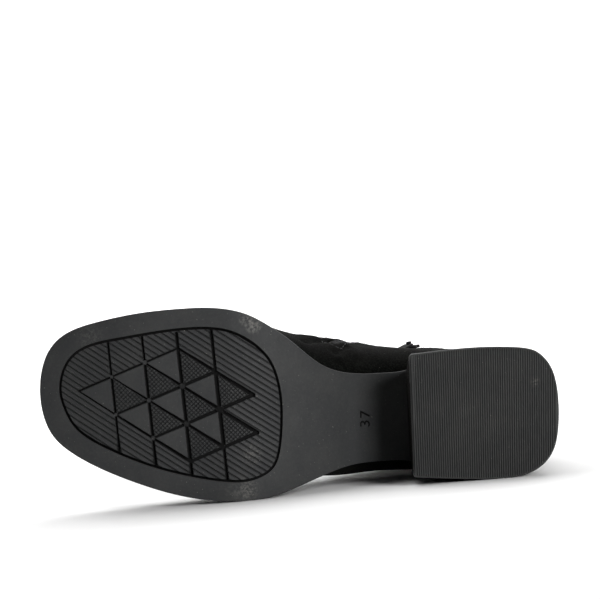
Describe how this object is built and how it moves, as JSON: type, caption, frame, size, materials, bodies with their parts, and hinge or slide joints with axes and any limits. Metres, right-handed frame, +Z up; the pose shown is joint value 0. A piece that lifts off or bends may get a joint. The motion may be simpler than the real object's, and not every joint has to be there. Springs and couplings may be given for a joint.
{
  "type": "ankle boot",
  "caption": "Right ankle boot with a block heel, a lugged moulded sole, a hollow suede upper and a medial zip, lying on its lateral side.",
  "frame": {"origin": "middle of the floor under the boot as it lies", "axes": "+Z up and to the medial side, -X to the toe, +Y to the collar, so the sole faces -Y"},
  "size_m": [0.2498, 0.161, 0.0953],
  "materials": {
    "sole_rubber": "matt moulded rubber, dusty",
    "heel_covering": "matt black heel covering",
    "top_piece_rubber": "matt ribbed rubber",
    "suede": "black suede with a short nap",
    "insole_leather": "smooth lining leather",
    "zip_cloth": "woven zip tape",
    "zip_nylon": "moulded nylon teeth",
    "zip_metal": "dark gunmetal finish"
  },
  "bodies": {
    "boot": {"outsole": "sole_rubber", "heel_block": "heel_covering", "heel_top_piece": "top_piece_rubber", "upper": "suede", "insole": "insole_leather", "zip_tape": "zip_cloth", "zip_chain": "zip_nylon", "zip_slider": "zip_metal"},
    "pull_tab": {"zip_pull": "zip_metal"}
  },
  "joints": [
    {"name": "pull_tab_hinge", "type": "hinge", "parent": "boot", "child": "pull_tab", "pos_m": [0.06136, 0.06633, 0.06327], "axis": [-0.9182, 0.396, -0.0096], "range_deg": [0, 150]}
  ]
}
